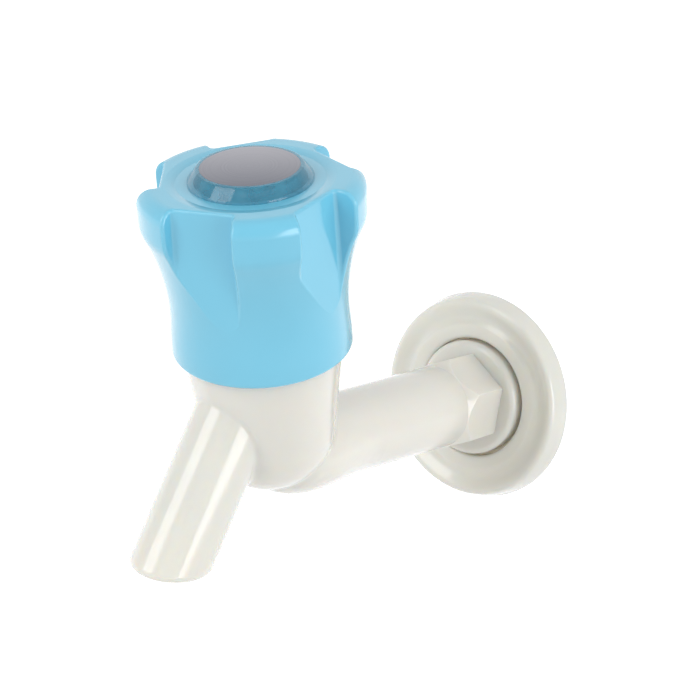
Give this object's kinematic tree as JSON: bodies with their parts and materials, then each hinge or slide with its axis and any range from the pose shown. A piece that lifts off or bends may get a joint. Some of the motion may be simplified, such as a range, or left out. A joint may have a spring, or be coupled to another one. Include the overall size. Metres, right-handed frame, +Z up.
{
  "type": "bib tap",
  "caption": "Wall-mounted plastic bib tap: a flanged inlet arm, a leaning barrel with a lobed screw-down knob and a slanted spout.",
  "frame": {"origin": "on the inlet axis, in the plane of the wall that the flange rests on", "axes": "+X along the inlet axis out of the wall, +Z up, the XZ plane is the body's plane of symmetry"},
  "size_m": [0.1458, 0.0588, 0.105],
  "materials": {
    "body_plastic": "smooth moulded ivory, glossy",
    "knob_plastic": "smooth moulded sky blue, satin gloss",
    "bonnet_plastic": "natural acetal, as moulded",
    "slip_plastic": "white slippery washer stock",
    "clear_plastic": "clear moulded plastic, polished",
    "disc_foil": "silver-grey foil disc, bare",
    "seal_rubber": "black rubber",
    "spindle_brass": "turned brass",
    "spring_steel": "bright stainless steel"
  },
  "bodies": {
    "tap": {"tap_body": "body_plastic", "wall_flange": "body_plastic", "bonnet": "bonnet_plastic", "bonnet_seal": "seal_rubber"},
    "handle": {"spindle": "spindle_brass", "spindle_seal_lower": "seal_rubber", "spindle_seal_upper": "seal_rubber", "thrust_washer": "slip_plastic", "spindle_circlip": "spring_steel", "knob": "knob_plastic", "knob_screw": "spring_steel", "screw_washer": "spring_steel", "button_cap": "clear_plastic", "index_disc": "disc_foil"},
    "jumper": {"plunger": "bonnet_plastic", "valve_washer": "seal_rubber", "washer_plate": "spindle_brass", "washer_screw": "spindle_brass"}
  },
  "joints": [
    {"name": "knob_turn", "type": "hinge", "parent": "tap", "child": "handle", "pos_m": [0.0875, 0, 0], "axis": [0.2756, 0, 0.9613], "range_deg": [0, 540]},
    {"name": "jumper_lift", "type": "slide", "parent": "tap", "child": "jumper", "axis": [0.2756, 0, 0.9613], "range_m": [0, 0.0045]}
  ],
  "couplings": [
    {"joint": "jumper_lift", "follows": "knob_turn", "m_per_rad": 0.00047746}
  ]
}
